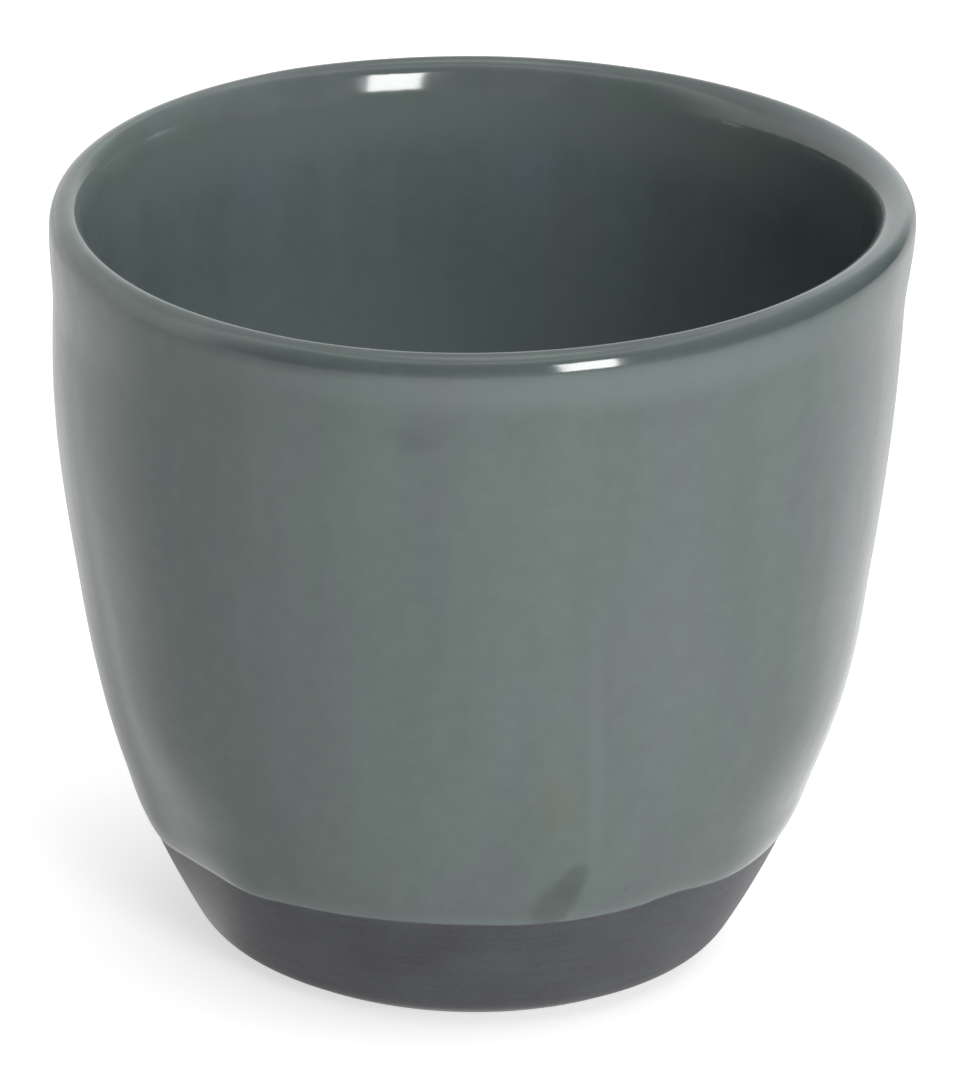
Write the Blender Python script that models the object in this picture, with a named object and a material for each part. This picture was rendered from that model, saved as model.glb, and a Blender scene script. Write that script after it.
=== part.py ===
"""Handleless espresso cup of glazed stoneware, in metres, +Z up, standing on z = 0.

Three pieces, one inside the other: the turned clay body with its bare foot, the liner
glaze poured into it, and the outer glaze that the cup was dipped in, which runs from the
glaze line above the foot up and over the lip.
"""

import math

import bmesh
import bpy
from mathutils import Vector

# Outside of the finished cup, glaze included. The hand-made rim isn't quite level: CUP_HEIGHT is
# its mean, and it stands RIM_RISE higher on the side at RIM_RISE_BEARING than opposite
RIM_DIAMETER = 0.0650
CUP_HEIGHT = 0.0594
KNEE_DIAMETER = 0.0412
KNEE_HEIGHT = 0.0016
WALL_SLOPE_AT_KNEE = math.radians(59.7)
WALL_BELLY_LOW = 0.0094
WALL_BELLY_HIGH = 0.0351
LIP_FLARE = 0.0005
LIP_FLARE_HEIGHT = 0.0065
RIM_RISE = 0.0019
RIM_RISE_BEARING = math.radians(17.0)

# Foot: a bevel under the knee, then a standing ring round a shallow recess
FOOT_BEVEL_WIDTH = 0.0030
FOOT_EDGE_ROUNDING = 0.0007
STANDING_RING_WIDTH = 0.0055
RECESS_DEPTH = 0.0010
RECESS_SLOPE_WIDTH = 0.0015

# Wall and floor, glaze included
LIP_THICKNESS = 0.0026
WALL_THICKNESS_AT_FOOT = 0.0040
FLOOR_THICKNESS = 0.0055
FLOOR_FILLET = 0.0100

# Glaze coats, and the gap that keeps them clear of the clay and of each other
GLAZE_LINE_HEIGHT = 0.0109
GLAZE_THICKNESS = 0.00035
GLAZE_EDGE_STEP = 0.0002
BOND_GAP = 0.0003

# How finely the profiles are drawn
TURN_STEPS = 60
WALL_STEPS = 8
FLARE_STEPS = 4
BARE_WALL_STEPS = 4
ROUND_STEPS = 6
EDGE_STEPS = 3
SEARCH_STEPS = 40
WELD_DISTANCE = 1e-7
SHARP_ANGLE = math.radians(28.0)

COAT_DEPTH = GLAZE_THICKNESS + BOND_GAP
LIP_RADIUS = LIP_THICKNESS / 2
LIP_BASE_HEIGHT = CUP_HEIGHT - LIP_RADIUS
LIP_CENTRE = Vector((RIM_DIAMETER / 2 - LIP_RADIUS, LIP_BASE_HEIGHT))
FOOT_RADIUS = KNEE_DIAMETER / 2 - FOOT_BEVEL_WIDTH
RECESS_RADIUS = FOOT_RADIUS - STANDING_RING_WIDTH


def wall_point(rise):
    """Point (radius, height) of the finished outside and its outward normal.

    rise runs from 0 at the knee to 1 where the lip begins.
    """
    knee = Vector((KNEE_DIAMETER / 2, KNEE_HEIGHT))
    top = Vector((RIM_DIAMETER / 2 - LIP_FLARE, LIP_BASE_HEIGHT))
    slope = Vector((math.cos(WALL_SLOPE_AT_KNEE), math.sin(WALL_SLOPE_AT_KNEE)))
    low_handle = knee + WALL_BELLY_LOW * slope
    high_handle = top - Vector((0.0, WALL_BELLY_HIGH))
    left = 1.0 - rise
    point = left**3 * knee + rise**3 * top
    point += 3 * left**2 * rise * low_handle + 3 * left * rise**2 * high_handle
    along = left**2 * (low_handle - knee) + rise**2 * (top - high_handle)
    along += 2 * left * rise * (high_handle - low_handle)
    flare = (point.y - LIP_BASE_HEIGHT) / LIP_FLARE_HEIGHT + 1.0
    flare = min(max(flare, 0.0), 1.0)
    point.x += LIP_FLARE * flare**2 * (3 - 2 * flare)
    along.x += LIP_FLARE * 6 * flare * (1 - flare) * along.y / LIP_FLARE_HEIGHT
    along.normalize()
    return point, Vector((along.y, -along.x))


def find_rise(height_at, wanted):
    """The rise at which height_at, which grows with it, reaches the wanted height."""
    low, high = 0.0, 1.0
    for _ in range(SEARCH_STEPS):
        middle = (low + high) / 2
        if height_at(middle) < wanted:
            low = middle
        else:
            high = middle
    return (low + high) / 2


def rise_at(height):
    return find_rise(lambda rise: wall_point(rise)[0].y, height)


def outside(rise, depth):
    """Point of the outer wall, depth below its finished surface."""
    point, normal = wall_point(rise)
    return point - depth * normal


def inside(rise, depth):
    """Point of the inner wall, depth below its finished surface."""
    point, normal = wall_point(rise)
    wall = WALL_THICKNESS_AT_FOOT + (LIP_THICKNESS - WALL_THICKNESS_AT_FOOT) * rise
    return point - (wall - depth) * normal


def steps(first, last, count):
    return [first + (last - first) * i / count for i in range(count + 1)]


def wall_steps(first_rise, last_rise):
    """Rises from first to last, closer together where the wall flares into the lip."""
    flare_rise = rise_at(LIP_BASE_HEIGHT - LIP_FLARE_HEIGHT)
    return steps(first_rise, flare_rise, WALL_STEPS) + steps(flare_rise, last_rise, FLARE_STEPS)[1:]


def arc(centre, radius, first_angle, last_angle):
    return [
        centre + radius * Vector((math.cos(angle), math.sin(angle)))
        for angle in steps(first_angle, last_angle, ROUND_STEPS)
    ]


def eased(start, corner, end):
    """Points of the round that replaces the corner between start and end."""
    return [
        (1 - share) ** 2 * start + 2 * share * (1 - share) * corner + share**2 * end
        for share in steps(0.0, 1.0, EDGE_STEPS)
    ]


def bowl(depth, top_rise):
    """Inner surface, depth below the finished liner: floor, fillet and wall, from the axis up."""
    fillet_rise = find_rise(
        lambda rise: inside(rise, -FLOOR_FILLET).y, FLOOR_THICKNESS + FLOOR_FILLET
    )
    centre = inside(fillet_rise, -FLOOR_FILLET)
    normal = wall_point(fillet_rise)[1]
    floor = [Vector((0.0, FLOOR_THICKNESS - depth))]
    fillet = arc(centre, FLOOR_FILLET + depth, -math.pi / 2, math.atan2(normal.y, normal.x))
    wall = [inside(rise, depth) for rise in wall_steps(fillet_rise, top_rise)]
    return floor + fillet + wall[1:]


def out_of_level(place):
    """How much the rising rim lifts this place: nothing at the foot, most at the lip."""
    share = min(max(place.z / CUP_HEIGHT, 0.0), 1.0)
    toward = place.x * math.cos(RIM_RISE_BEARING) + place.y * math.sin(RIM_RISE_BEARING)
    return RIM_RISE * toward / RIM_DIAMETER * share**2 * (3 - 2 * share)


def turned(name, profile, material):
    """One closed body: the profile turned about the cup's axis, and its top set out of level."""
    mesh = bpy.data.meshes.new(name)
    shape = bmesh.new()
    ring = [shape.verts.new((point.x, 0.0, point.y)) for point in profile]
    ends = zip(ring, ring[1:] + ring[:1])
    edges = [shape.edges.new(pair) for pair in ends if pair[0].co.x > 0.0 or pair[1].co.x > 0.0]
    bmesh.ops.spin(
        shape,
        geom=ring + edges,
        cent=(0.0, 0.0, 0.0),
        axis=(0.0, 0.0, 1.0),
        angle=2 * math.pi,
        steps=TURN_STEPS,
        use_merge=True,
    )
    bmesh.ops.remove_doubles(shape, verts=shape.verts, dist=WELD_DISTANCE)
    bmesh.ops.recalc_face_normals(shape, faces=shape.faces)
    for corner in shape.verts:
        corner.co.z += out_of_level(corner.co)
    shape.to_mesh(mesh)
    shape.free()
    mesh.polygons.foreach_set("use_smooth", [True] * len(mesh.polygons))
    mesh.set_sharp_from_angle(angle=SHARP_ANGLE)
    mesh.materials.append(material)
    body = bpy.data.objects.new(name, mesh)
    bpy.context.collection.objects.link(body)


def surface(name, colour, roughness):
    material = bpy.data.materials.new(name)
    material.use_nodes = True
    shader = material.node_tree.nodes["Principled BSDF"]
    shader.inputs["Base Color"].default_value = (*colour, 1.0)
    shader.inputs["Roughness"].default_value = roughness
    shader.inputs["Metallic"].default_value = 0.0
    return material


def clay_profile():
    """Recess, standing ring, bevel, bare foot, ledge under the glaze, wall, lip and bowl."""
    recess = [
        Vector((0.0, RECESS_DEPTH)),
        Vector((RECESS_RADIUS - RECESS_SLOPE_WIDTH, RECESS_DEPTH)),
        Vector((RECESS_RADIUS, 0.0)),
    ]
    foot = Vector((FOOT_RADIUS, 0.0))
    knee = outside(0.0, GLAZE_EDGE_STEP)
    bevel = (knee - foot).normalized()
    bare_rise = rise_at(KNEE_HEIGHT + FOOT_EDGE_ROUNDING)
    ledge_rise = rise_at(GLAZE_LINE_HEIGHT - BOND_GAP)
    foot_edge = eased(foot - Vector((FOOT_EDGE_ROUNDING, 0.0)), foot, foot + FOOT_EDGE_ROUNDING * bevel)
    knee_edge = eased(knee - FOOT_EDGE_ROUNDING * bevel, knee, outside(bare_rise, GLAZE_EDGE_STEP))
    bare = [outside(rise, GLAZE_EDGE_STEP) for rise in steps(bare_rise, ledge_rise, BARE_WALL_STEPS)]
    coated = [outside(rise, COAT_DEPTH) for rise in wall_steps(ledge_rise, 1.0)]
    lip = arc(LIP_CENTRE, LIP_RADIUS - COAT_DEPTH, 0.0, math.pi)
    return recess + foot_edge + knee_edge + bare[1:] + coated + lip[1:] + bowl(COAT_DEPTH, 1.0)[-2::-1]


def outer_glaze_profile():
    """Dipped coat: rounded lower edge, outer face over the lip, then back down its clay side."""
    line_rise = rise_at(GLAZE_LINE_HEIGHT)
    full_rise = rise_at(GLAZE_LINE_HEIGHT + GLAZE_THICKNESS)
    edge = eased(outside(line_rise, GLAZE_THICKNESS), outside(line_rise, 0.0), outside(full_rise, 0.0))
    face = [outside(rise, 0.0) for rise in wall_steps(full_rise, 1.0)]
    lip_face = arc(LIP_CENTRE, LIP_RADIUS, 0.0, math.pi)
    lip_back = arc(LIP_CENTRE, LIP_RADIUS - GLAZE_THICKNESS, math.pi, 0.0)
    back = [outside(rise, GLAZE_THICKNESS) for rise in wall_steps(line_rise, 1.0)[::-1]]
    return edge + face[1:] + lip_face[1:] + lip_back + back[1:-1]


def liner_glaze_profile():
    """Poured coat: its clay side from the axis up, then its face back down to the axis."""
    top_rise = rise_at(LIP_BASE_HEIGHT - BOND_GAP)
    return bowl(GLAZE_THICKNESS, top_rise) + bowl(0.0, top_rise)[::-1]


for old in list(bpy.data.objects):
    bpy.data.objects.remove(old)

turned("stoneware_body", clay_profile(), surface("bare_clay", (0.075, 0.073, 0.082), 0.85))
turned("outer_glaze", outer_glaze_profile(), surface("outer_glaze", (0.145, 0.186, 0.175), 0.15))
turned("liner_glaze", liner_glaze_profile(), surface("liner_glaze", (0.145, 0.186, 0.175), 0.15))
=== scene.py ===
"""Looks of the handleless stoneware espresso cup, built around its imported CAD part.

The cup goes together as the potter makes it: the turned clay body, the liner glaze poured
in, the outer glaze it is dipped in, and then the table, the light and the camera.
"""

import math

import bpy
from mathutils import Matrix, Vector


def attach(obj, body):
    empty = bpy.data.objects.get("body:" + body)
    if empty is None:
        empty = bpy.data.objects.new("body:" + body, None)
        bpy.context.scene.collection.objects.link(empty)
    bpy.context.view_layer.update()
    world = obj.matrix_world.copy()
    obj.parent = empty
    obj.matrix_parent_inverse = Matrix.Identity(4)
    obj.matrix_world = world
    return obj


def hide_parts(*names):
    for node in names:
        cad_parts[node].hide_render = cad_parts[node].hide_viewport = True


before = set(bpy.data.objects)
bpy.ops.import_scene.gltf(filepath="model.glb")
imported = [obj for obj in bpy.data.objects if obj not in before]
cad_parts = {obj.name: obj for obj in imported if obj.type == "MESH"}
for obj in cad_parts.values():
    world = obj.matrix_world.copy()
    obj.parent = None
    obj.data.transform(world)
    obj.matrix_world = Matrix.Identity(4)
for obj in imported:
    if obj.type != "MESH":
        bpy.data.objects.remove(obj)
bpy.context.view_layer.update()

# The clay body: dark grey stoneware, turned on the wheel and trimmed to a bevelled foot with a
# standing ring round a shallow recess. Only the foot stays bare and matt; the rest is under glaze.
# The sizes are those of the glazed cup, in metres, and the clay lies CLAY_DEPTH below them.
RIM_DIAMETER = 0.0650
CUP_HEIGHT = 0.05925
RIM_RISE = 0.00174
RIM_RISE_BEARING = math.radians(17.0)
RIM_SADDLE = 0.00028
RIM_SADDLE_BEARING = math.radians(-32.0)
KNEE = Vector((0.0206, 0.0016))
KNEE_SLOPE = math.radians(59.7)
BELLY_LOW = 0.0094
BELLY_HIGH = 0.0351
LIP_FLARE = 0.0005
LIP_FLARE_HEIGHT = 0.0065
LIP_THICKNESS = 0.0027
LIP_TOP_FROM_OUTSIDE = 0.00125
LIP_OUTER_ROUND = 0.0017
LIP_INNER_ROUND = 0.0028
WALL_AT_FOOT = 0.0040
FLOOR_THICKNESS = 0.0055
FLOOR_FILLET = 0.0100
FOOT_RADIUS = 0.0176
FOOT_ROUNDING = 0.0009
RECESS_RADIUS = 0.0121
RECESS_SLOPE = 0.0015
RECESS_EASE = 0.67
RECESS_DEPTH = 0.0010
CLAY_DEPTH = 0.00012
WALL_TOP = CUP_HEIGHT - LIP_OUTER_ROUND
LIP_TOP_RADIUS = RIM_DIAMETER / 2 - LIP_TOP_FROM_OUTSIDE

# How finely the profiles are drawn and turned
TURN_STEPS = 256
WALL_STEPS = 60
FLOOR_STEPS = 10
FILLET_STEPS = 16
HIDDEN_LIP_STEPS = 16
RECESS_STEPS = 8
RING_STEPS = 4
FOOT_EDGE_STEPS = 6
KNEE_STEPS = 8
SEARCH_STEPS = 40
ROUND_HANDLE = 0.5523
WELD_DISTANCE = 1e-6
SHARP_ANGLE = math.radians(40.0)


def wall_point(rise):
    """Point (radius, height) of the glazed outside and its normal.

    rise runs from 0 at the knee to 1 where the lip begins.
    """
    top = Vector((RIM_DIAMETER / 2 - LIP_FLARE, WALL_TOP))
    low_handle = KNEE + BELLY_LOW * Vector((math.cos(KNEE_SLOPE), math.sin(KNEE_SLOPE)))
    high_handle = top - Vector((0.0, BELLY_HIGH))
    left = 1.0 - rise
    point = left**3 * KNEE + rise**3 * top
    point += 3 * left**2 * rise * low_handle + 3 * left * rise**2 * high_handle
    along = left**2 * (low_handle - KNEE) + rise**2 * (top - high_handle)
    along += 2 * left * rise * (high_handle - low_handle)
    flare = min(max((point.y - WALL_TOP) / LIP_FLARE_HEIGHT + 1.0, 0.0), 1.0)
    point.x += LIP_FLARE * flare**2 * (3 - 2 * flare)
    along.x += LIP_FLARE * 6 * flare * (1 - flare) * along.y / LIP_FLARE_HEIGHT
    along.normalize()
    return point, Vector((along.y, -along.x))


def find_rise(height_at, wanted):
    """The rise at which height_at, which grows with it, reaches the wanted height."""
    low, high = 0.0, 1.0
    for _ in range(SEARCH_STEPS):
        middle = (low + high) / 2
        if height_at(middle) < wanted:
            low = middle
        else:
            high = middle
    return (low + high) / 2


def rise_at(height):
    return find_rise(lambda rise: wall_point(rise)[0].y, height)


def outside(rise, depth):
    """Point of the outer wall, depth below its glazed surface."""
    point, normal = wall_point(rise)
    return point - depth * normal


def inside(rise, depth):
    """Point of the inner wall, depth below its glazed surface."""
    point, normal = wall_point(rise)
    return point - (WALL_AT_FOOT + (LIP_THICKNESS - WALL_AT_FOOT) * rise - depth) * normal


def steps(first, last, count):
    return [first + (last - first) * i / count for i in range(count + 1)]


def arc(centre, radius, first_angle, last_angle, count):
    return [
        centre + radius * Vector((math.cos(angle), math.sin(angle)))
        for angle in steps(first_angle, last_angle, count)
    ]


def eased(start, corner, end, count):
    """Points of the round that replaces the corner between start and end."""
    return [
        (1 - share) ** 2 * start + 2 * share * (1 - share) * corner + share**2 * end
        for share in steps(0.0, 1.0, count)
    ]


def bent(start, start_handle, end_handle, end, count):
    """Points of the curve from start to end that the two handles pull."""
    return [
        (1 - share) ** 3 * start + 3 * (1 - share) ** 2 * share * start_handle
        + 3 * (1 - share) * share**2 * end_handle + share**3 * end
        for share in steps(0.0, 1.0, count)
    ]


def bowl(depth):
    """Inner surface, depth below the glazed liner: floor, fillet and wall, from the axis to the lip."""
    fillet_rise = find_rise(lambda rise: inside(rise, -FLOOR_FILLET).y, FLOOR_THICKNESS + FLOOR_FILLET)
    lip_rise = find_rise(lambda rise: inside(rise, 0.0).y, CUP_HEIGHT - LIP_INNER_ROUND)
    centre = inside(fillet_rise, -FLOOR_FILLET)
    normal = wall_point(fillet_rise)[1]
    wall_angle = math.atan2(normal.y, normal.x)
    floor = [Vector((radius, FLOOR_THICKNESS - depth)) for radius in steps(0.0, centre.x, FLOOR_STEPS)]
    fillet = arc(centre, FLOOR_FILLET + depth, -math.pi / 2, wall_angle, FILLET_STEPS)
    wall = [inside(rise, depth) for rise in steps(fillet_rise, lip_rise, WALL_STEPS)]
    return floor + fillet[1:] + wall[1:]


def lip(depth, count):
    """Rounded lip, depth below the glaze: up from the outer wall, over, and down to the inner wall."""
    outer_end = outside(1.0, depth)
    top = Vector((LIP_TOP_RADIUS, CUP_HEIGHT - depth))
    inner_wall = bowl(depth)
    inner_end = inner_wall[-1]
    upward = (inner_end - inner_wall[-2]).normalized()
    outer = bent(
        outer_end,
        outer_end + Vector((0.0, ROUND_HANDLE * (top.y - outer_end.y))),
        top + Vector((ROUND_HANDLE * (outer_end.x - top.x), 0.0)),
        top,
        count,
    )
    inner = bent(
        top,
        top - Vector((ROUND_HANDLE * (top.x - inner_end.x), 0.0)),
        inner_end + ROUND_HANDLE * (top.y - inner_end.y) * upward,
        inner_end,
        count,
    )
    return outer + inner[1:]


def put(tree, kind, inputs=None, **settings):
    """Adds a node with these settings; each input is another node's output or a plain value."""
    made = tree.nodes.new(kind)
    for name, value in settings.items():
        setattr(made, name, value)
    for place, value in (inputs or {}).items():
        if isinstance(value, bpy.types.NodeSocket):
            tree.links.new(value, made.inputs[place])
        else:
            made.inputs[place].default_value = value
    return made


def calc(tree, operation, first, second=0.0, third=0.0):
    """Result of one Math node."""
    return put(tree, "ShaderNodeMath", {0: first, 1: second, 2: third}, operation=operation).outputs[0]


def ramp(tree, value, low, high, at_low=0.0, at_high=1.0):
    """A smooth step from at_low to at_high as the value goes from low to high."""
    inputs = {"Value": value, "From Min": low, "From Max": high, "To Min": at_low, "To Max": at_high}
    return put(tree, "ShaderNodeMapRange", inputs, interpolation_type="SMOOTHSTEP").outputs[0]


def length_of(tree, vector):
    return put(tree, "ShaderNodeVectorMath", {0: vector}, operation="LENGTH").outputs["Value"]


def distance(tree, first, second):
    return put(tree, "ShaderNodeVectorMath", {0: first, 1: second}, operation="DISTANCE").outputs["Value"]


def scaled(tree, vector, amount):
    return put(tree, "ShaderNodeVectorMath", {0: vector, "Scale": amount}, operation="SCALE").outputs[0]


def parts_of(tree, vector):
    """The X, Y and Z of a vector, by name."""
    return put(tree, "ShaderNodeSeparateXYZ", {0: vector}).outputs


def noise(tree, vector, scale, detail, seed=0.0):
    inputs = {"Vector": vector, "W": seed, "Scale": scale, "Detail": detail}
    return put(tree, "ShaderNodeTexNoise", inputs, noise_dimensions="4D").outputs[0]


# The potter's hand: a wall that is slightly dented and fuller in two places, a lip left thicker toward
# the inside on the right, and a thumb that pressed the back of the lip flat. Bearings run from +X.
HAND_DEPTH = 0.0001
HAND_LENGTH = 0.022
HAND_SEED = 4.0
HAND_BLEND = 0.003
SWELLS = {
    "Left Swell": {"Bearing": math.radians(180.0), "Height": 0.0440, "Reach": 0.0160, "Amount": 0.00046},
    "Right Swell": {"Bearing": 0.0, "Height": 0.0220, "Reach": 0.0100, "Amount": 0.00033},
}
LIP_THICKER = 0.0005
LIP_THICKER_BEARING = math.radians(10.0)
LIP_THICKER_RADIUS = 0.0298
LIP_THICKER_FROM = 0.0450
LIP_THICKER_TO = 0.0560
THUMB_PLACE = Vector((-0.0075, 0.0301, 0.0576))
THUMB_REACH = 0.0100
THUMB_DEPTH = 0.00011

# Height of the dipped edge round the cup: degrees to the right of the front, then the share of Edge Wave
EDGE_LINE = [
    (-180, -0.10), (-130, 0.00), (-100, -0.42), (-76, -0.60), (-62, -0.34), (-51, -0.16),
    (-40, -0.34), (-34, -0.25), (-25, -0.14), (0, -0.02), (12, -0.06), (25, -0.01),
    (32, 0.06), (38, 0.18), (45, 0.06), (60, -0.12), (120, 0.10), (180, -0.10),
]


def wheel_tree():
    """Turns a profile about the cup's axis, then makes it as uneven as the potter's hand left it."""
    tree = bpy.data.node_groups.new("turned on the wheel", "GeometryNodeTree")
    face = tree.interface
    face.new_socket("Profile", in_out="INPUT", socket_type="NodeSocketGeometry")
    face.new_socket("Turn Steps", in_out="INPUT", socket_type="NodeSocketInt")
    sizes = [
        "Rim Diameter", "Cup Height", "Rim Rise", "Rim Rise Bearing", "Rim Saddle", "Rim Saddle Bearing",
        "Hand Depth", "Hand Length", "Hand Seed", "Hand From Radius", "Hand Full Radius",
        "Lip Top Radius", "Lip Thicker", "Lip Thicker Bearing", "Lip Thicker Radius",
        "Lip Thicker From", "Lip Thicker To", "Thumb Reach", "Thumb Depth",
        "Edge Height", "Edge Reach", "Edge Wave", "Edge Lean", "Edge Lean Fade",
        "Finger Reach", "Finger Depth",
    ]
    sizes += [f"{swell} {size}" for swell in SWELLS for size in SWELLS[swell]]
    for name in sizes:
        face.new_socket(name, in_out="INPUT", socket_type="NodeSocketFloat")
    for name in ("Thumb Place", "Finger Place"):
        face.new_socket(name, in_out="INPUT", socket_type="NodeSocketVector")
    face.new_socket("Material", in_out="INPUT", socket_type="NodeSocketMaterial")
    face.new_socket("Cup", in_out="OUTPUT", socket_type="NodeSocketGeometry")
    given = tree.nodes.new("NodeGroupInput").outputs
    position = put(tree, "GeometryNodeInputPosition").outputs[0]

    # A sheet with one column per turning step takes its rows from the points of the profile
    profile = given["Profile"]
    count = put(tree, "GeometryNodeAttributeDomainSize", {"Geometry": profile}).outputs["Point Count"]
    columns = calc(tree, "ADD", given["Turn Steps"], 1.0)
    shape = put(tree, "GeometryNodeMeshGrid", {"Vertices X": columns, "Vertices Y": count}).outputs["Mesh"]
    index = put(tree, "GeometryNodeInputIndex").outputs[0]
    column = calc(tree, "FLOOR", calc(tree, "DIVIDE", calc(tree, "ADD", index, 0.5), count))
    row = calc(tree, "SUBTRACT", index, calc(tree, "MULTIPLY", column, count))
    drawn = put(
        tree, "GeometryNodeSampleIndex", {"Geometry": profile, "Value": position, "Index": row},
        data_type="FLOAT_VECTOR", domain="POINT",
    ).outputs[0]
    drawn = parts_of(tree, drawn)
    for kept in ("below lip", "edge_highlight"):
        value = put(tree, "GeometryNodeInputNamedAttribute", {"Name": kept}, data_type="FLOAT").outputs[0]
        value = put(
            tree, "GeometryNodeSampleIndex", {"Geometry": profile, "Value": value, "Index": row},
            data_type="FLOAT", domain="POINT",
        ).outputs[0]
        shape = put(
            tree, "GeometryNodeStoreNamedAttribute", {"Geometry": shape, "Name": kept, "Value": value},
            data_type="FLOAT", domain="POINT",
        ).outputs[0]
    angle = calc(tree, "MULTIPLY", calc(tree, "DIVIDE", column, given["Turn Steps"]), 2 * math.pi)
    ring_x = calc(tree, "MULTIPLY", drawn["X"], calc(tree, "COSINE", angle))
    ring_y = calc(tree, "MULTIPLY", drawn["X"], calc(tree, "SINE", angle))
    place = put(tree, "ShaderNodeCombineXYZ", {0: ring_x, 1: ring_y, 2: drawn["Z"]}).outputs[0]
    shape = put(tree, "GeometryNodeSetPosition", {"Geometry": shape, "Position": place}).outputs[0]
    weld = {"Geometry": shape, "Distance": WELD_DISTANCE}
    shape = put(tree, "GeometryNodeMergeByDistance", weld).outputs[0]

    # The dipped edge wanders up and down round the cup, and slides along the wall as it does
    at = parts_of(tree, position)
    flat = put(tree, "ShaderNodeCombineXYZ", {0: at["X"], 1: at["Y"]}).outputs[0]
    radius = length_of(tree, flat)
    outward = put(tree, "ShaderNodeVectorMath", {0: flat}, operation="NORMALIZE").outputs[0]
    bearing = calc(tree, "ARCTAN2", at["X"], calc(tree, "MULTIPLY", at["Y"], -1.0))
    round_share = calc(tree, "MULTIPLY_ADD", bearing, 0.5 / math.pi, 0.5)
    edge = put(tree, "ShaderNodeFloatCurve", {"Value": round_share})
    line = edge.mapping.curves[0]
    for degrees, share in EDGE_LINE[1:-1]:
        line.points.new(degrees / 360 + 0.5, share / 2 + 0.5)
    line.points[0].location = (0.0, EDGE_LINE[0][1] / 2 + 0.5)
    line.points[-1].location = (1.0, EDGE_LINE[-1][1] / 2 + 0.5)
    edge.mapping.update()
    lift = calc(tree, "MULTIPLY_ADD", edge.outputs[0], 2.0, -1.0)
    lift = calc(tree, "MULTIPLY", lift, given["Edge Wave"])
    above = calc(tree, "SUBTRACT", at["Z"], given["Edge Height"])
    lift = calc(tree, "MULTIPLY", lift, ramp(tree, above, 0.0, given["Edge Reach"], 1.0, 0.0))
    halfway = calc(tree, "MULTIPLY_ADD", lift, 0.5, above)
    steeper = calc(tree, "MULTIPLY", halfway, given["Edge Lean Fade"])
    lean = calc(tree, "SUBTRACT", given["Edge Lean"], steeper)
    aside = scaled(tree, outward, calc(tree, "MULTIPLY", lift, lean))
    upward = put(tree, "ShaderNodeCombineXYZ", {2: lift}).outputs[0]
    slide = put(tree, "ShaderNodeVectorMath", {0: aside, 1: upward}, operation="ADD").outputs[0]
    shape = put(tree, "GeometryNodeSetPosition", {"Geometry": shape, "Offset": slide}).outputs[0]

    # The hand dents the wall a little all over, and a finger pressed the wet glaze
    hand = noise(tree, position, calc(tree, "DIVIDE", 1.0, given["Hand Length"]), 1.5, given["Hand Seed"])
    dent = ramp(tree, hand, 0.3, 0.7)
    on_wall = ramp(tree, radius, given["Hand From Radius"], given["Hand Full Radius"])
    dent = calc(tree, "MULTIPLY", dent, on_wall)
    dent = calc(tree, "MULTIPLY", dent, given["Hand Depth"])
    from_finger = distance(tree, position, given["Finger Place"])
    press = ramp(tree, from_finger, 0.0, given["Finger Reach"], given["Finger Depth"], 0.0)
    inward = calc(tree, "ADD", dent, press)

    def along(bearing):
        """How far a point lies from the axis in the direction of the bearing."""
        east = calc(tree, "MULTIPLY", at["X"], calc(tree, "COSINE", bearing))
        north = calc(tree, "MULTIPLY", at["Y"], calc(tree, "SINE", bearing))
        return calc(tree, "ADD", east, north)

    def facing(bearing):
        """1 on the side of the bearing, 0 square to it and -1 opposite."""
        return calc(tree, "DIVIDE", along(bearing), calc(tree, "MAXIMUM", radius, 0.001))

    # The wall is fuller in two places
    for swell in SWELLS:
        off = calc(tree, "ABSOLUTE", calc(tree, "SUBTRACT", at["Z"], given[f"{swell} Height"]))
        fuller = ramp(tree, off, 0.0, given[f"{swell} Reach"], given[f"{swell} Amount"], 0.0)
        on_side = ramp(tree, facing(given[f"{swell} Bearing"]), 0.0, 1.0)
        inward = calc(tree, "SUBTRACT", inward, calc(tree, "MULTIPLY", fuller, on_side))

    # A thumb pressed the back of the lip a little flat
    from_thumb = distance(tree, position, given["Thumb Place"])
    flattened = ramp(tree, from_thumb, 0.0, given["Thumb Reach"], given["Thumb Depth"], 0.0)
    inward = calc(tree, "ADD", inward, flattened)

    # On one side the lip is left thicker toward the inside
    thicker = ramp(
        tree, radius, given["Lip Thicker Radius"], given["Lip Top Radius"], given["Lip Thicker"], 0.0
    )
    near_lip = ramp(tree, at["Z"], given["Lip Thicker From"], given["Lip Thicker To"])
    thicker = calc(tree, "MULTIPLY", thicker, near_lip)
    on_side = ramp(tree, facing(given["Lip Thicker Bearing"]), 0.1, 0.9)
    inward = calc(tree, "ADD", inward, calc(tree, "MULTIPLY", thicker, on_side))
    uneven = scaled(tree, outward, calc(tree, "MULTIPLY", inward, -1.0))
    shape = put(tree, "GeometryNodeSetPosition", {"Geometry": shape, "Offset": uneven}).outputs[0]

    # The rim stands higher on one side and sags a little between
    tilt = calc(tree, "DIVIDE", along(given["Rim Rise Bearing"]), given["Rim Diameter"])
    tilt = calc(tree, "MULTIPLY", tilt, given["Rim Rise"])
    turn_share = facing(given["Rim Saddle Bearing"])
    saddle = calc(tree, "MULTIPLY_ADD", calc(tree, "MULTIPLY", turn_share, turn_share), 2.0, -1.0)
    tilt = calc(tree, "MULTIPLY_ADD", saddle, given["Rim Saddle"], tilt)
    tilt = calc(tree, "MULTIPLY", tilt, ramp(tree, at["Z"], 0.0, given["Cup Height"]))
    level = put(tree, "ShaderNodeCombineXYZ", {2: tilt}).outputs[0]
    shape = put(tree, "GeometryNodeSetPosition", {"Geometry": shape, "Offset": level}).outputs[0]

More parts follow.
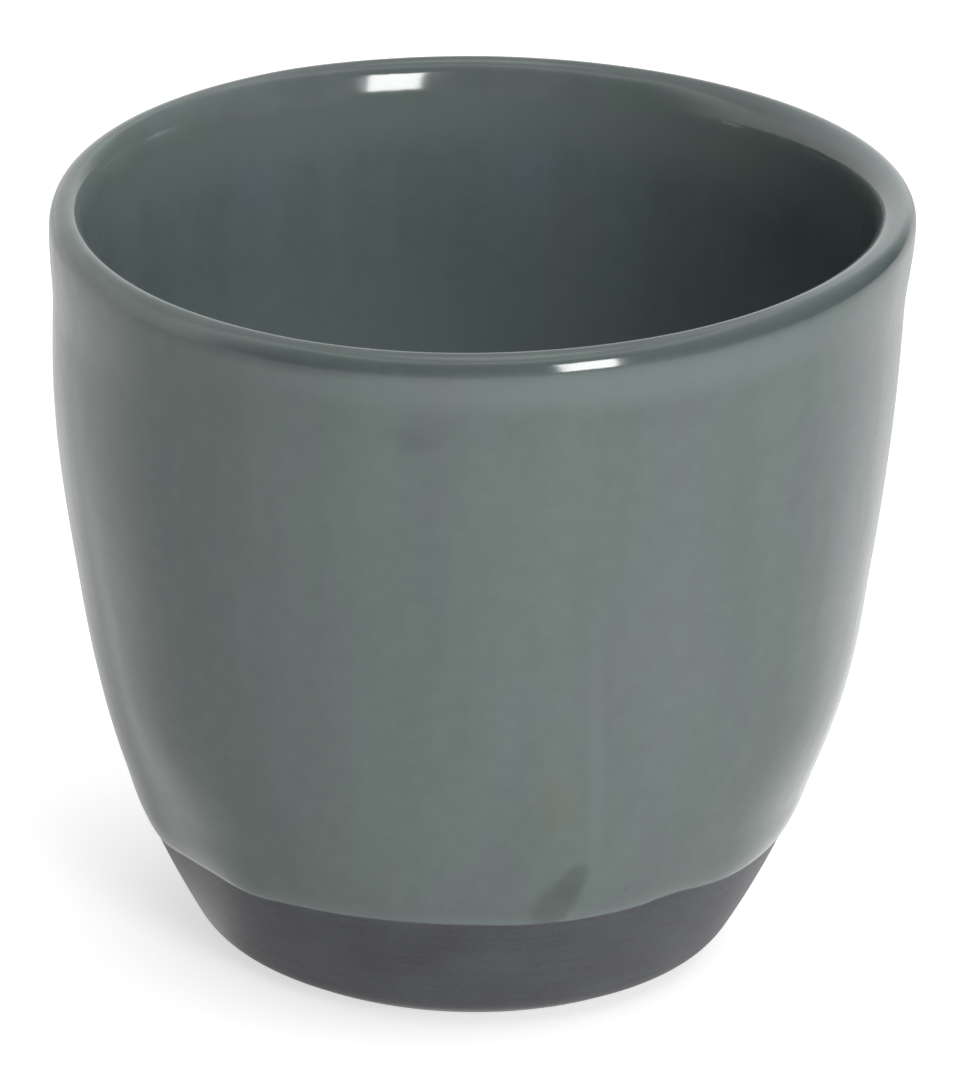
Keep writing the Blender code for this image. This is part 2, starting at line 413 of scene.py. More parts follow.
    shape = put(tree, "GeometryNodeSetShadeSmooth", {"Geometry": shape}).outputs[0]
    shape = put(tree, "GeometryNodeRealizeInstances", {"Geometry": shape}).outputs[0]
    finish = {"Geometry": shape, "Material": given["Material"]}
    shape = put(tree, "GeometryNodeSetMaterial", finish).outputs[0]
    tree.links.new(shape, tree.nodes.new("NodeGroupOutput").inputs["Cup"])
    return tree


def turn(name, profile, material, marks=None, **sizes):
    """Turns the closed profile (radius, height) into one finished piece at the origin.

    marks are values kept on the profile's points, by name, and sizes are further inputs of the wheel.
    """
    line = bpy.data.meshes.new(name + " profile")
    line.from_pydata([(point.x, 0.0, point.y) for point in profile], [], [])
    for mark, values in (marks or {}).items():
        line.attributes.new(mark, "FLOAT", "POINT").data.foreach_set("value", values)
    drawing = bpy.data.objects.new(name + " profile", line)
    bpy.context.collection.objects.link(drawing)
    modifier = drawing.modifiers.new("turned", "NODES")
    modifier.node_group = wheel
    given = {
        "Turn Steps": TURN_STEPS, "Rim Diameter": RIM_DIAMETER, "Cup Height": CUP_HEIGHT,
        "Rim Rise": RIM_RISE, "Rim Rise Bearing": RIM_RISE_BEARING,
        "Rim Saddle": RIM_SADDLE, "Rim Saddle Bearing": RIM_SADDLE_BEARING,
        "Hand Depth": HAND_DEPTH, "Hand Length": HAND_LENGTH, "Hand Seed": HAND_SEED,
        "Hand From Radius": KNEE.x - HAND_BLEND, "Hand Full Radius": KNEE.x + HAND_BLEND,
        "Lip Top Radius": LIP_TOP_RADIUS, "Lip Thicker": LIP_THICKER,
        "Lip Thicker Bearing": LIP_THICKER_BEARING, "Lip Thicker Radius": LIP_THICKER_RADIUS,
        "Lip Thicker From": LIP_THICKER_FROM, "Lip Thicker To": LIP_THICKER_TO,
        "Thumb Place": THUMB_PLACE, "Thumb Reach": THUMB_REACH, "Thumb Depth": THUMB_DEPTH,
        "Edge Reach": 0.001, "Finger Reach": 0.001, "Material": material,
    }
    for swell, swell_sizes in SWELLS.items():
        given.update({f"{swell} {size}": value for size, value in swell_sizes.items()})
    given.update(sizes)
    for socket in wheel.interface.items_tree:
        if socket.in_out == "INPUT" and socket.name in given:
            modifier[socket.identifier] = given[socket.name]
    bpy.context.view_layer.update()
    graph = bpy.context.evaluated_depsgraph_get()
    mesh = bpy.data.meshes.new_from_object(drawing.evaluated_get(graph))
    bpy.data.objects.remove(drawing)
    mesh.name = name
    mesh.set_sharp_from_angle(angle=SHARP_ANGLE)
    piece = bpy.data.objects.new(name, mesh)
    bpy.context.collection.objects.link(piece)
    return piece


def own_place(tree):
    """A point's place on the cup, which patterns follow."""
    return put(tree, "ShaderNodeTexCoord").outputs["Object"]


def stretched(tree, vector, across, upward):
    """The place scaled across and upward, so that a pattern on it is drawn out."""
    return put(tree, "ShaderNodeMapping", {"Vector": vector, "Scale": (across, across, upward)}).outputs[0]


def between(tree, share, first, last, spread):
    """Colour that goes from first to last as the share crosses the middle."""
    tint = put(tree, "ShaderNodeValToRGB", {"Fac": share})
    low, high = tint.color_ramp.elements
    low.position = 0.5 - spread
    low.color = first
    high.position = 0.5 + spread
    high.color = last
    return tint.outputs[0]


wheel = wheel_tree()

# Colours of the bare clay, and its clouds, grain and turning rings in patches per metre
CLAY_DARK = (0.046, 0.047, 0.055, 1.0)
CLAY_PALE = (0.072, 0.076, 0.087, 1.0)
CLAY_SPREAD = 0.12
CLAY_CLOUDS = 160.0
CLAY_GRAIN = 2600.0
CLAY_RINGS = 1500.0
RING_DRAW = 0.06
CLOUD_SHARE = 0.55
GRAIN_SHARE = 0.25
RING_SHARE = 0.2
CLAY_ROUGHNESS = 0.42
CLAY_SPECULAR = 0.6
CLAY_RELIEF = 0.2
CLAY_RELIEF_DEPTH = 0.0002
clay = bpy.data.materials.new("bare dark stoneware")
clay.use_nodes = True
tree = clay.node_tree
shader = tree.nodes["Principled BSDF"]
where = own_place(tree)
cloud = noise(tree, where, CLAY_CLOUDS, detail=3.0)
grain = noise(tree, where, CLAY_GRAIN, detail=3.0)
rings = noise(tree, stretched(tree, where, RING_DRAW, 1.0), CLAY_RINGS, detail=2.0)
mixed = calc(tree, "MULTIPLY_ADD", cloud, CLOUD_SHARE, calc(tree, "MULTIPLY", grain, GRAIN_SHARE))
mixed = calc(tree, "MULTIPLY_ADD", rings, RING_SHARE, mixed)
tree.links.new(between(tree, mixed, CLAY_DARK, CLAY_PALE, CLAY_SPREAD), shader.inputs["Base Color"])
shader.inputs["Roughness"].default_value = CLAY_ROUGHNESS
shader.inputs["Specular IOR Level"].default_value = CLAY_SPECULAR
height = calc(tree, "MULTIPLY_ADD", rings, 0.5, grain)
relief = {"Height": height, "Strength": CLAY_RELIEF, "Distance": CLAY_RELIEF_DEPTH}
bump = put(tree, "ShaderNodeBump", relief)
tree.links.new(bump.outputs[0], shader.inputs["Normal"])

foot = Vector((FOOT_RADIUS, 0.0))
knee = outside(0.0, CLAY_DEPTH)
bevel = (knee - foot).normalized()
bare_rise = rise_at(KNEE.y + FOOT_ROUNDING)
flat_radius = RECESS_RADIUS - RECESS_SLOPE
ring_edge = FOOT_RADIUS - FOOT_ROUNDING
profile = [Vector((radius, RECESS_DEPTH)) for radius in steps(0.0, flat_radius, RECESS_STEPS)]
profile += eased(
    Vector((flat_radius, RECESS_DEPTH)),
    Vector((flat_radius + RECESS_SLOPE * RECESS_EASE, RECESS_DEPTH)),
    Vector((RECESS_RADIUS, 0.0)),
    FOOT_EDGE_STEPS,
)[1:]
profile += [Vector((radius, 0.0)) for radius in steps(RECESS_RADIUS, ring_edge, RING_STEPS)][1:]
profile += eased(
    foot - Vector((FOOT_ROUNDING, 0.0)), foot, foot + FOOT_ROUNDING * bevel, FOOT_EDGE_STEPS
)[1:]
profile += eased(knee - FOOT_ROUNDING * bevel, knee, outside(bare_rise, CLAY_DEPTH), KNEE_STEPS)
profile += [outside(rise, CLAY_DEPTH) for rise in steps(bare_rise, 1.0, WALL_STEPS)][1:]
profile += lip(CLAY_DEPTH, HIDDEN_LIP_STEPS)[1:]
profile += bowl(CLAY_DEPTH)[-2::-1]
clay_body = turn("turned_clay", profile, clay)
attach(clay_body, "root")
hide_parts("stoneware_body")

# The liner: grey-green glaze poured into the cup and swilled round, up to the inside of the lip,
# where it runs into the outer coat and takes its colour. Lower down it is painted paler, as painted
# light that brightens the deep inside.
COAT_THICKNESS = 0.0001
LINER_GREEN = (0.118, 0.152, 0.148, 1.0)
LINER_BLUE = (0.123, 0.151, 0.160, 1.0)
LINER_PAINTED_LIGHT = (0.164, 0.204, 0.208, 1.0)
LINER_LIGHT_FROM = 0.0460
LINER_LIGHT_TO = 0.0310
LINER_AT_LIP = (0.126, 0.157, 0.150, 1.0)
BLEND_FROM = 0.0515
BLEND_TO = 0.0552

# The glaze of both coats: clouds, runs, mottle, pinholes, gloss and ripples in patches per metre
GLAZE_SPREAD = 0.14
GLAZE_CLOUDS = 110.0
CLOUD_DRAW = 0.35
GLAZE_RUNS = 190.0
RUN_DRAW = 0.08
RUN_SHADE = 0.05
GLAZE_MOTTLE = 700.0
MOTTLE_SHADE = 0.035
PINHOLES = 240.0
PINHOLES_LEFT_OUT = 0.72
PINHOLE_CORE = 0.03
PINHOLE_EDGE = 0.075
PINHOLE_COLOUR = (0.060, 0.070, 0.068, 1.0)
PINHOLE_STRENGTH = 0.22
PINHOLE_SINK = 0.5
GLOSS_PATCHES = 260.0
GLOSS_SMOOTH = 0.07
GLOSS_ROUGH = 0.12
GLAZE_IOR = 1.6
GLAZE_RIPPLES = 320.0
RIPPLE_STRENGTH = 0.04
RIPPLE_DISTANCE = 0.001


def stain(material, colour, share, strength=1.0):
    """Lays a colour over the base colour of the material as far as share and strength say."""
    tree = material.node_tree
    base = tree.nodes["Principled BSDF"].inputs["Base Color"]
    under = base.links[0].from_socket
    amount = calc(tree, "MULTIPLY", share, strength)
    over = put(tree, "ShaderNodeMix", {0: amount, 6: under, 7: colour}, data_type="RGBA")
    tree.links.new(over.outputs[2], base)


def glaze_finish(name, green, blue):
    """Glossy grey-green glaze with soft clouds, faint runs and a few pinholes."""
    glaze = bpy.data.materials.new(name)
    glaze.use_nodes = True
    tree = glaze.node_tree
    shader = tree.nodes["Principled BSDF"]
    where = own_place(tree)
    cloud = noise(tree, stretched(tree, where, 1.0, CLOUD_DRAW), GLAZE_CLOUDS, detail=3.0, seed=2.0)
    tint = between(tree, cloud, green, blue, GLAZE_SPREAD)
    runs = noise(tree, stretched(tree, where, 1.0, RUN_DRAW), GLAZE_RUNS, detail=2.0, seed=5.0)
    runs = ramp(tree, runs, 0.3, 0.7, 1.0 - RUN_SHADE, 1.0 + RUN_SHADE)
    mottle = noise(tree, where, GLAZE_MOTTLE, detail=2.0, seed=1.0)
    mottle = ramp(tree, mottle, 0.25, 0.75, 1.0 - MOTTLE_SHADE, 1.0 + MOTTLE_SHADE)
    tint = scaled(tree, tint, calc(tree, "MULTIPLY", runs, mottle))
    tree.links.new(tint, shader.inputs["Base Color"])
    cells = put(tree, "ShaderNodeTexVoronoi", {"Vector": where, "Scale": PINHOLES}).outputs
    chosen = put(tree, "ShaderNodeSeparateColor", {0: cells["Color"]}).outputs[0]
    chosen = calc(tree, "GREATER_THAN", chosen, PINHOLES_LEFT_OUT)
    hole = ramp(tree, cells["Distance"], PINHOLE_CORE, PINHOLE_EDGE, 1.0, 0.0)
    hole = calc(tree, "MULTIPLY", hole, chosen)
    stain(glaze, PINHOLE_COLOUR, hole, PINHOLE_STRENGTH)
    shader.inputs["IOR"].default_value = GLAZE_IOR
    gloss = noise(tree, where, GLOSS_PATCHES, detail=3.0, seed=3.0)
    gloss = ramp(tree, gloss, 0.3, 0.7, GLOSS_SMOOTH, GLOSS_ROUGH)
    tree.links.new(gloss, shader.inputs["Roughness"])
    ripple = noise(tree, where, GLAZE_RIPPLES, detail=1.0, seed=6.0)
    ripple = calc(tree, "MULTIPLY_ADD", hole, -PINHOLE_SINK, ripple)
    relief = {"Height": ripple, "Strength": RIPPLE_STRENGTH, "Distance": RIPPLE_DISTANCE}
    bump = put(tree, "ShaderNodeBump", relief)
    tree.links.new(bump.outputs[0], shader.inputs["Normal"])
    return glaze


poured = glaze_finish("poured grey-green glaze", LINER_GREEN, LINER_BLUE)
tree = poured.node_tree
up = parts_of(tree, own_place(tree))["Z"]
# Painted light: the liner is painted paler lower in the cup
stain(poured, LINER_PAINTED_LIGHT, ramp(tree, up, LINER_LIGHT_TO, LINER_LIGHT_FROM, 1.0, 0.0))
stain(poured, LINER_AT_LIP, ramp(tree, up, BLEND_FROM, BLEND_TO))
liner = turn("poured_liner", bowl(0.0) + bowl(COAT_THICKNESS)[::-1], poured)
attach(liner, "root")
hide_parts("liner_glaze")

# The outer coat: the cup is dipped upside down in the same glaze as far as the foot, so its lower
# edge wanders, sags on the left and rolls up in a low bead, painted paler as a painted highlight.
# It runs over the lip to meet the liner. A dark band under the lip is a painted reflection, the
# right of the lip is painted paler as painted light, and where a finger held the cup the coat is
# thin, so dark clay shows through.
GLAZE_LINE_HEIGHT = 0.0109
GLAZE_GREEN = (0.122, 0.158, 0.146, 1.0)
GLAZE_BLUE = (0.130, 0.156, 0.154, 1.0)
# Pale glaze of the run down the wall, also used for painted highlights and reflections
PALE_GLAZE_AND_HIGHLIGHT = (0.158, 0.190, 0.188, 1.0)
IRON_COLOUR = (0.140, 0.136, 0.100, 1.0)
PAINTED_DARK_REFLECTION = (0.062, 0.078, 0.078, 1.0)
FINGER_COLOUR = (0.072, 0.092, 0.086, 1.0)
EDGE_WAVE = 0.0025
EDGE_REACH = 0.008
EDGE_LEAN = 0.406
EDGE_LEAN_FADE = 18.1
EDGE_ROLL = 0.0018
EDGE_SINK = 0.00022
BEAD_HEIGHT = 0.00012
BEAD_REACH = 0.0025
EDGE_HIGHLIGHT_REACH = 0.0017
EDGE_HIGHLIGHT_STRENGTH = 0.6
EDGE_STEPS = 8
BEAD_STEPS = 14
FACE_STEPS = 50
FLARE_STEPS = 24
SEEN_LIP_STEPS = 24
FINGER_PLACE = Vector((0.0070, -0.0255, 0.0136))
FINGER_REACH = 0.0030
FINGER_DEPTH = 0.00006
FINGER_LEAN = math.radians(28.0)


def coat_depth(height):
    """How deep the face of the coat lies: a low bead above its lower edge."""
    share = min(max((height - GLAZE_LINE_HEIGHT - EDGE_ROLL) / BEAD_REACH, 0.0), 1.0)
    return -BEAD_HEIGHT * (1 - share**2 * (3 - 2 * share))


def below_lip(point):
    """Depth below the top of the lip, counted down from 0 as negative on its inner side."""
    near_top = point.y > CUP_HEIGHT - 2 * LIP_INNER_ROUND
    on_inner_side = near_top and point.x < LIP_TOP_RADIUS
    return point.y - CUP_HEIGHT if on_inner_side else CUP_HEIGHT - point.y


def edge_highlight(point):
    """1 at the lower edge, which is painted paler there as a painted highlight, and 0 above its reach."""
    above = min(max((point.y - GLAZE_LINE_HEIGHT) / EDGE_HIGHLIGHT_REACH, 0.0), 1.0)
    return (1 - above**2) ** 2


line_rise = rise_at(GLAZE_LINE_HEIGHT)
roll_rise = rise_at(GLAZE_LINE_HEIGHT + EDGE_ROLL)
bead_rise = rise_at(GLAZE_LINE_HEIGHT + EDGE_ROLL + BEAD_REACH)
flare_rise = rise_at(WALL_TOP - LIP_FLARE_HEIGHT)
rises = steps(roll_rise, bead_rise, BEAD_STEPS)[1:]
rises += steps(bead_rise, flare_rise, FACE_STEPS)[1:]
rises += steps(flare_rise, 1.0, FLARE_STEPS)[1:]
face = eased(
    outside(line_rise, EDGE_SINK),
    outside(line_rise, -BEAD_HEIGHT),
    outside(roll_rise, -BEAD_HEIGHT),
    EDGE_STEPS,
)
face += [outside(rise, coat_depth(wall_point(rise)[0].y)) for rise in rises]
face += lip(0.0, SEEN_LIP_STEPS)[1:]
back = [outside(rise, COAT_THICKNESS) for rise in steps(line_rise, 1.0, WALL_STEPS)]
back += lip(COAT_THICKNESS, HIDDEN_LIP_STEPS)[1:]
profile = face + back[::-1] + face[:1]
marks = {
    "below lip": [below_lip(point) for point in profile],
    "edge_highlight": [edge_highlight(point) for point in profile],
}
dipped = glaze_finish("dipped grey-green glaze", GLAZE_GREEN, GLAZE_BLUE)
tree = dipped.node_tree
below = put(tree, "ShaderNodeAttribute", attribute_name="below lip").outputs["Fac"]
painted_edge_highlight = put(tree, "ShaderNodeAttribute", attribute_name="edge_highlight").outputs["Fac"]
sideways = parts_of(tree, own_place(tree))["X"]

# A painted reflection: a dark band is painted under the lip for the dark surroundings mirrored
# there. It lies lower on the left, where it also fades, and its dark spreads over the lip.
REFLECTION_BAND_LEFT = 0.00140
REFLECTION_BAND_RIGHT = 0.00095
REFLECTION_BAND_DROPS = (-0.014, -0.004)
REFLECTION_BAND_REACH = 0.00105
REFLECTION_BAND_BLEND = 0.0001
REFLECTION_BAND_FADES = (-0.027, -0.012)
REFLECTION_BAND_STRENGTH_LEFT = 0.1
REFLECTION_BAND_STRENGTH = 0.75
REFLECTION_BAND_ON_LIP = 0.6
REFLECTION_BAND_ON_PALE_LIP = 0.2
LIP_PALE_FROM = 0.0180
LIP_PALE_TO = 0.0300
LIP_PALE_INSIDE = 0.0020
LIP_PALE_OUTSIDE = 0.0004
centre = ramp(tree, sideways, *REFLECTION_BAND_DROPS, REFLECTION_BAND_LEFT, REFLECTION_BAND_RIGHT)
under = calc(tree, "SUBTRACT", below, centre)
on_lip = ramp(tree, below, -LIP_INNER_ROUND, 0.0, 0.0, REFLECTION_BAND_ON_LIP)
paler = ramp(tree, sideways, LIP_PALE_FROM, LIP_PALE_TO, 1.0, REFLECTION_BAND_ON_PALE_LIP)
on_lip = calc(tree, "MULTIPLY", on_lip, paler)
fades_to = ramp(tree, under, -REFLECTION_BAND_BLEND, REFLECTION_BAND_BLEND, on_lip, 0.0)
band = ramp(tree, calc(tree, "ABSOLUTE", under), 0.0, REFLECTION_BAND_REACH, 1.0, fades_to)
stronger = ramp(tree, sideways, *REFLECTION_BAND_FADES, REFLECTION_BAND_STRENGTH_LEFT, REFLECTION_BAND_STRENGTH)
# Painted reflection: the dark band under the lip
stain(dipped, PAINTED_DARK_REFLECTION, calc(tree, "MULTIPLY", band, stronger))
# Painted light: the lip is painted paler on its right
outer_side = ramp(tree, below, 0.0, LIP_PALE_OUTSIDE, 1.0, 0.0)
pale = ramp(tree, below, -LIP_PALE_INSIDE, 0.0, 0.0, outer_side)
pale = calc(tree, "MULTIPLY", pale, ramp(tree, sideways, LIP_PALE_FROM, LIP_PALE_TO))
stain(dipped, PALE_GLAZE_AND_HIGHLIGHT, pale)
# Painted highlight: the glaze is painted paler just above its lower edge
stain(dipped, PALE_GLAZE_AND_HIGHLIGHT, painted_edge_highlight, EDGE_HIGHLIGHT_STRENGTH)

# Marks on the near side: place, width, height, lean, blur, colour and strength
GLAZE_MARKS = [
    # A painted reflection: a pale band painted below the front of the lip
    (Vector((0.0110, -0.0310, 0.0564)), 0.0460, 0.0026, math.radians(-1.5), 0.8, PALE_GLAZE_AND_HIGHLIGHT, 0.75),
    # A pale run down the wall
    (Vector((0.0095, -0.0275, 0.0250)), 0.0011, 0.0200, math.radians(-2.0), 0.9, PALE_GLAZE_AND_HIGHLIGHT, 0.4),
    # A rusty bloom of iron beside it
    (Vector((0.0066, -0.0280, 0.0220)), 0.0026, 0.0050, 0.0, 0.8, IRON_COLOUR, 0.3),
    # A dark cloud below the lip
    (Vector((-0.0046, -0.0316, 0.0523)), 0.0030, 0.0018, 0.0, 0.8, FINGER_COLOUR, 0.3),
    # The finger mark above the foot, in two overlapping ovals
    (Vector((0.0067, -0.0253, 0.0126)), 0.0029, 0.0046, FINGER_LEAN, 0.35, FINGER_COLOUR, 0.62),
    (Vector((0.0079, -0.0256, 0.0146)), 0.0020, 0.0036, FINGER_LEAN, 0.35, FINGER_COLOUR, 0.65),
]
MARK_REACH = 0.02
MARK_EDGE = 1.3
TORN_SCALE = 900.0
TORN_DEPTH = 0.6


def patch(tree, place, wide, high, lean, blur):
    """1 inside an upright oval on the near side of the cup, fading out over its torn edge."""
    where = own_place(tree)
    oval = {
        "Vector": where, "Location": place,
        "Rotation": (0.0, lean, 0.0), "Scale": (wide / 2, MARK_REACH, high / 2),
    }
    oval = put(tree, "ShaderNodeMapping", oval, vector_type="TEXTURE").outputs[0]
    ragged = noise(tree, where, TORN_SCALE, detail=2.0, seed=7.0)
    torn = calc(tree, "MULTIPLY_ADD", ragged, TORN_DEPTH, length_of(tree, oval))
    return ramp(tree, torn, MARK_EDGE - blur, MARK_EDGE + blur, 1.0, 0.0)


for place, wide, high, lean, blur, colour, strength in GLAZE_MARKS:
    stain(dipped, colour, patch(tree, place, wide, high, lean, blur), strength)

outer = turn(
    "dipped_coat", profile, dipped, marks,
    **{
        "Edge Height": GLAZE_LINE_HEIGHT, "Edge Reach": EDGE_REACH, "Edge Wave": EDGE_WAVE,
        "Edge Lean": EDGE_LEAN, "Edge Lean Fade": EDGE_LEAN_FADE,
        "Finger Place": FINGER_PLACE, "Finger Reach": FINGER_REACH, "Finger Depth": FINGER_DEPTH,
    },
)
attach(outer, "root")
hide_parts("outer_glaze")

# The table: a plain sheet of white paper, just clear of the foot. It glows a little for the camera
# and in reflections, so that it looks white, and keeps the cup's soft shadow.
TABLE_SIZE = 3.0
TABLE_TOP = -0.0001
TABLE_GLOW = 0.62
PAPER_COLOUR = (0.65, 0.65, 0.65, 1.0)
PAPER_ROUGHNESS = 0.9
WHITE = (1.0, 1.0, 1.0, 1.0)
table_mesh = bpy.data.meshes.new("table")
corner = TABLE_SIZE / 2
table_mesh.from_pydata(
    [
        (-corner, -corner, TABLE_TOP), (corner, -corner, TABLE_TOP),
        (corner, corner, TABLE_TOP), (-corner, corner, TABLE_TOP),
    ],
    [], [(0, 1, 2, 3)],
)
paper = bpy.data.materials.new("white paper")
paper.use_nodes = True
tree = paper.node_tree
shader = tree.nodes["Principled BSDF"]
shader.inputs["Base Color"].default_value = PAPER_COLOUR
shader.inputs["Roughness"].default_value = PAPER_ROUGHNESS
shader.inputs["Specular IOR Level"].default_value = 0.0
shader.inputs["Emission Color"].default_value = WHITE


def seen_directly(tree):
    """1 for rays from the camera, a mirror or clear glass, 0 for light that falls on a surface."""
    ray = put(tree, "ShaderNodeLightPath").outputs
    seen = calc(tree, "MAXIMUM", ray["Is Camera Ray"], ray["Is Glossy Ray"])
    return calc(tree, "MAXIMUM", seen, ray["Is Transmission Ray"])


glow = calc(tree, "MULTIPLY", seen_directly(tree), TABLE_GLOW)
tree.links.new(glow, shader.inputs["Emission Strength"])
table_mesh.materials.append(paper)
table = bpy.data.objects.new("table", table_mesh)
bpy.context.collection.objects.link(table)

# The light: a white room lit from above and from the right, and one tall softbox to the right of
# the camera. A dark screen round the camera's side and a glowing sheet on the table, a painted
# reflection of the table with a painted shadow of the cup, are seen only in the reflections on
# the glaze.
ROOM_LIGHT = 0.06
TOP_LIGHT = 2.1
TOP_LIGHT_FROM = 0.5
LEFT_SHARE = 0.25
RIGHT_SHARE = 1.75
SIDE_REACH = 0.75
CEILING = 0.5
CEILING_FROM = 0.35
CEILING_TO = 0.7
ZENITH = 1.4
ZENITH_FROM = 0.92
world = bpy.data.worlds.new("white room")
bpy.context.scene.world = world
world.use_nodes = True
tree = world.node_tree
tree.nodes.clear()
way = parts_of(tree, put(tree, "ShaderNodeTexCoord").outputs["Generated"])
lighting = ramp(tree, way["Z"], TOP_LIGHT_FROM, 1.0, ROOM_LIGHT, TOP_LIGHT)
from_side = ramp(tree, way["X"], -SIDE_REACH, SIDE_REACH, LEFT_SHARE, RIGHT_SHARE)
lighting = calc(tree, "MULTIPLY", lighting, from_side)
mirrored = ramp(tree, way["Z"], CEILING_FROM, CEILING_TO, 1.0, CEILING)
mirrored = calc(tree, "MAXIMUM", mirrored, ramp(tree, way["Z"], ZENITH_FROM, 1.0, 0.0, ZENITH))
strength = put(tree, "ShaderNodeMix", {0: seen_directly(tree), 2: lighting, 3: mirrored}).outputs[0]
room = put(tree, "ShaderNodeBackground", {"Color": WHITE, "Strength": strength})
tree.links.new(room.outputs[0], put(tree, "ShaderNodeOutputWorld").inputs["Surface"])

SOFTBOX_BEARING = math.radians(26.5)
SOFTBOX_RISE = math.radians(16.0)
SOFTBOX_DISTANCE = 0.9
SOFTBOX_WIDTH = 0.21
SOFTBOX_HEIGHT = 0.48
SOFTBOX_WATTS = 5.2
lamp = bpy.data.lights.new("softbox", "AREA")
lamp.shape = "RECTANGLE"
lamp.size = SOFTBOX_WIDTH
lamp.size_y = SOFTBOX_HEIGHT
lamp.energy = SOFTBOX_WATTS
softbox = bpy.data.objects.new("softbox", lamp)
toward = Vector((
    math.sin(SOFTBOX_BEARING) * math.cos(SOFTBOX_RISE),
    -math.cos(SOFTBOX_BEARING) * math.cos(SOFTBOX_RISE),
    math.sin(SOFTBOX_RISE),
))
softbox.location = Vector((0.0, 0.0, CUP_HEIGHT)) + SOFTBOX_DISTANCE * toward
softbox.rotation_euler = toward.to_track_quat("Z", "Y").to_euler()
bpy.context.collection.objects.link(softbox)

CARD_STEPS = 60
BLACK = (0.0, 0.0, 0.0, 1.0)


def card(name, rings, first, last, shade):
    """Card bent round the cup through these rings (radius, height), which only reflections show."""
    bearings = steps(math.radians(first), math.radians(last), CARD_STEPS)
    points = []
    for radius, height in rings:
        for bearing in bearings:
            points.append((radius * math.sin(bearing), -radius * math.cos(bearing), height))
    across = len(bearings)
    faces = [
        (i, i + 1, across + i + 1, across + i) for i in range(len(points) - across) if (i + 1) % across
    ]
    mesh = bpy.data.meshes.new(name)
    mesh.from_pydata(points, [], faces)
    material = bpy.data.materials.new(name)
    material.use_nodes = True
    tree = material.node_tree
    shader = tree.nodes["Principled BSDF"]
    shader.inputs["Base Color"].default_value = BLACK
    shader.inputs["Roughness"].default_value = 1.0
    shader.inputs["Specular IOR Level"].default_value = 0.0
    shader.inputs["Emission Color"].default_value = WHITE
    brightness = shade(tree, parts_of(tree, own_place(tree)))
    tree.links.new(brightness, shader.inputs["Emission Strength"])
    mesh.materials.append(material)
    made = bpy.data.objects.new(name, mesh)
    made.visible_camera = False
    made.visible_diffuse = False
    made.visible_shadow = False
    bpy.context.collection.objects.link(made)


# The screen goes pale between these heights, and between these bearings at its left and right ends
SCREEN_PALE_HEIGHTS = (1.0, 2.0)
SCREEN_LEFT_END = (-0.95, -1.5)
SCREEN_RIGHT_END = (2.25, 2.8)


def screen_shade(tree, at):
    """Black in front of the cup, paler towards the top and both ends."""
    bearing = calc(tree, "ARCTAN2", at["X"], calc(tree, "MULTIPLY", at["Y"], -1.0))
    upper = ramp(tree, at["Z"], *SCREEN_PALE_HEIGHTS)
    paler = calc(tree, "MAXIMUM", upper, ramp(tree, bearing, *SCREEN_LEFT_END))
    return calc(tree, "MAXIMUM", paler, ramp(tree, bearing, *SCREEN_RIGHT_END))


# Brightness of the sheet in front of the cup, and how far back it turns from grey to white, close to
# the cup and further out. Each pair is for the left and the right of the cup.
FRONT_GREY = (0.53, 0.66)
GREY_NEAR = (-0.60, -0.40)
GREY_FAR = (-0.35, 0.0)
WHITE_NEAR = (-0.30, 0.15)
WHITE_FAR = (0.42, 0.5)
NEAR_TO_FAR = (0.031, 0.055)
SHEET_WHITE = 1.03
SHEET_BEHIND = 0.65
BEHIND_FROM = 0.72
SHEET_FADES = (0.3, 0.8)
SHADOW_ACROSS = (0.75, 0.66)
SHADOW_ALONG = (-0.66, 0.75)
SHADOW_SIDES = (0.021, 0.031)
SHADOW_STARTS = (0.008, 0.024)
SHADOW_FADES = (0.025, 0.11)
SHADOW_DARK = 0.50
SHADOW_FAINT = 0.1


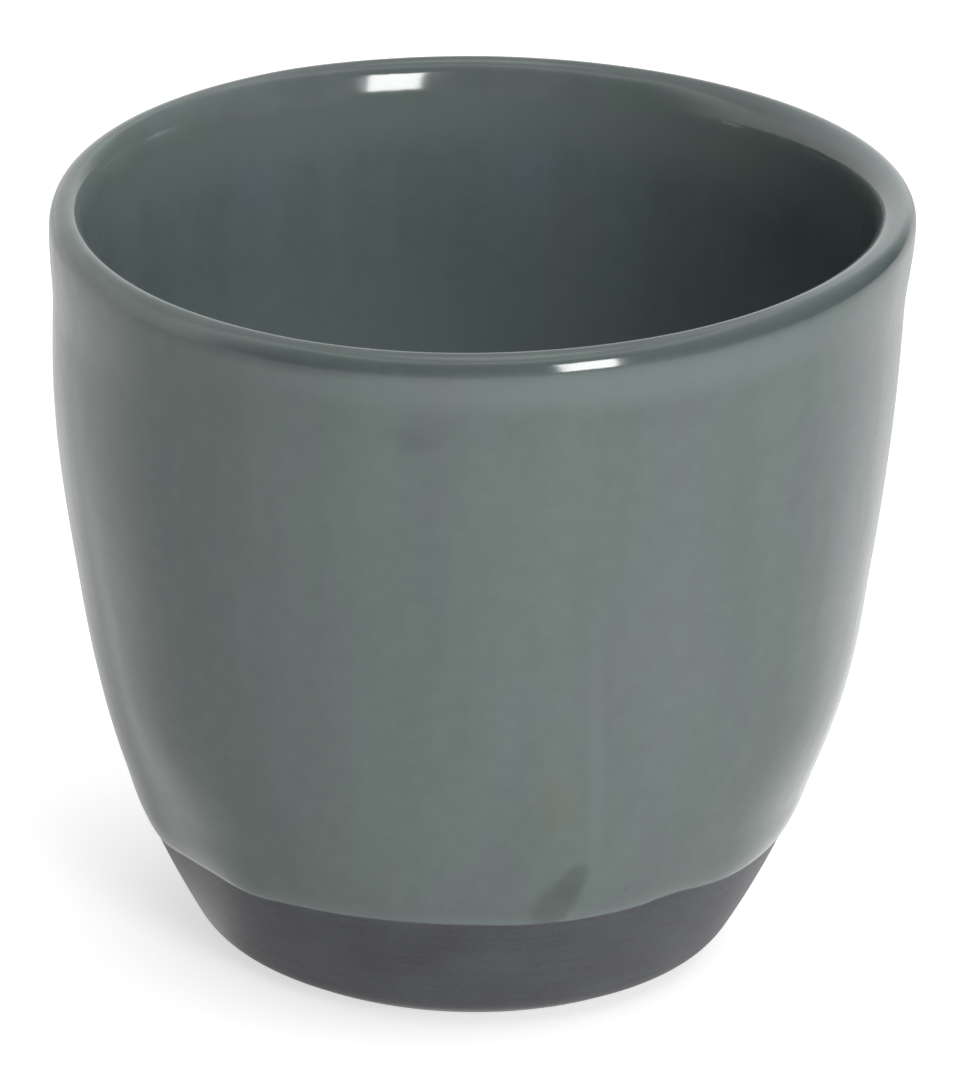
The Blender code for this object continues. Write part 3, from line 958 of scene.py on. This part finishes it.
def sheet_shade(tree, at):
    """Painted reflection of the table: white, greyer in front of the cup, with a painted shadow
    of the cup behind on the left; fades to the screen.
    """
    flat = put(tree, "ShaderNodeCombineXYZ", {0: at["X"], 1: at["Y"]}).outputs[0]
    radius = length_of(tree, flat)
    way = put(tree, "ShaderNodeVectorMath", {0: flat}, operation="NORMALIZE").outputs[0]
    way = parts_of(tree, way)

    def by_side(pair):
        return ramp(tree, way["X"], -0.5, 0.5, *pair)

    def toward_shadow(direction):
        eastward, northward = direction
        return calc(tree, "MULTIPLY_ADD", at["X"], eastward, calc(tree, "MULTIPLY", at["Y"], northward))

    grey_to = ramp(tree, radius, *NEAR_TO_FAR, by_side(GREY_NEAR), by_side(GREY_FAR))
    white_from = ramp(tree, radius, *NEAR_TO_FAR, by_side(WHITE_NEAR), by_side(WHITE_FAR))
    near = ramp(tree, way["Y"], grey_to, white_from, by_side(FRONT_GREY), SHEET_WHITE)
    near = ramp(tree, way["Y"], BEHIND_FROM, 1.0, near, SHEET_BEHIND)
    # Painted shadow of the cup on the sheet, behind it on the left
    across = calc(tree, "ABSOLUTE", toward_shadow(SHADOW_ACROSS))
    started = ramp(tree, toward_shadow(SHADOW_ALONG), *SHADOW_STARTS)
    shadow = ramp(tree, across, *SHADOW_SIDES, started, 0.0)
    shadow = calc(tree, "MULTIPLY", shadow, ramp(tree, radius, *SHADOW_FADES, SHADOW_DARK, SHADOW_FAINT))
    near = calc(tree, "MULTIPLY", near, calc(tree, "SUBTRACT", 1.0, shadow))
    return ramp(tree, radius, *SHEET_FADES, near, screen_shade(tree, at))


SCREEN_RADIUS = 1.2
SCREEN_HEIGHT = 2.2
SCREEN_ENDS = (-95.0, 165.0)
SHEET_INNER_RADIUS = 0.019
SHEET_HEIGHT = 0.0004
card("dark screen", [(SCREEN_RADIUS, 0.0), (SCREEN_RADIUS, SCREEN_HEIGHT)], *SCREEN_ENDS, screen_shade)
sheet_rings = [(SHEET_INNER_RADIUS, SHEET_HEIGHT), (SCREEN_RADIUS, SHEET_HEIGHT)]
card("grey sheet", sheet_rings, -180.0, 180.0, sheet_shade)

# The camera: a long lens, looking down on the cup from a little above and turned slightly on its
# axis, at the photograph's viewing angle and framing.
CAMERA_RISE = math.radians(22.83)
CAMERA_DISTANCE = 0.650
CAMERA_ROLL = math.radians(1.65)
CAMERA_MIDDLE = Vector((0.0, 0.0, 0.02925))
CAMERA_AIM = CAMERA_MIDDLE + Vector((0.00086, 0.0010, 0.00238))
FOCAL_PIXELS = 8530.0
FRAME_HEIGHT_PIXELS = 1065.0
SENSOR_WIDTH = 36.0
camera_data = bpy.data.cameras.new("camera")
camera_data.sensor_width = SENSOR_WIDTH
camera_data.lens = FOCAL_PIXELS / FRAME_HEIGHT_PIXELS * SENSOR_WIDTH
camera = bpy.data.objects.new("camera", camera_data)
from_cup = Vector((0.0, -math.cos(CAMERA_RISE), math.sin(CAMERA_RISE)))
camera.location = CAMERA_MIDDLE + CAMERA_DISTANCE * from_cup
turn_to = (camera.location - CAMERA_AIM).to_track_quat("Z", "Y").to_matrix().to_4x4()
camera.rotation_euler = (turn_to @ Matrix.Rotation(CAMERA_ROLL, 4, "Z")).to_euler()
bpy.context.collection.objects.link(camera)
bpy.context.scene.camera = camera
bpy.context.scene.view_settings.view_transform = "Standard"
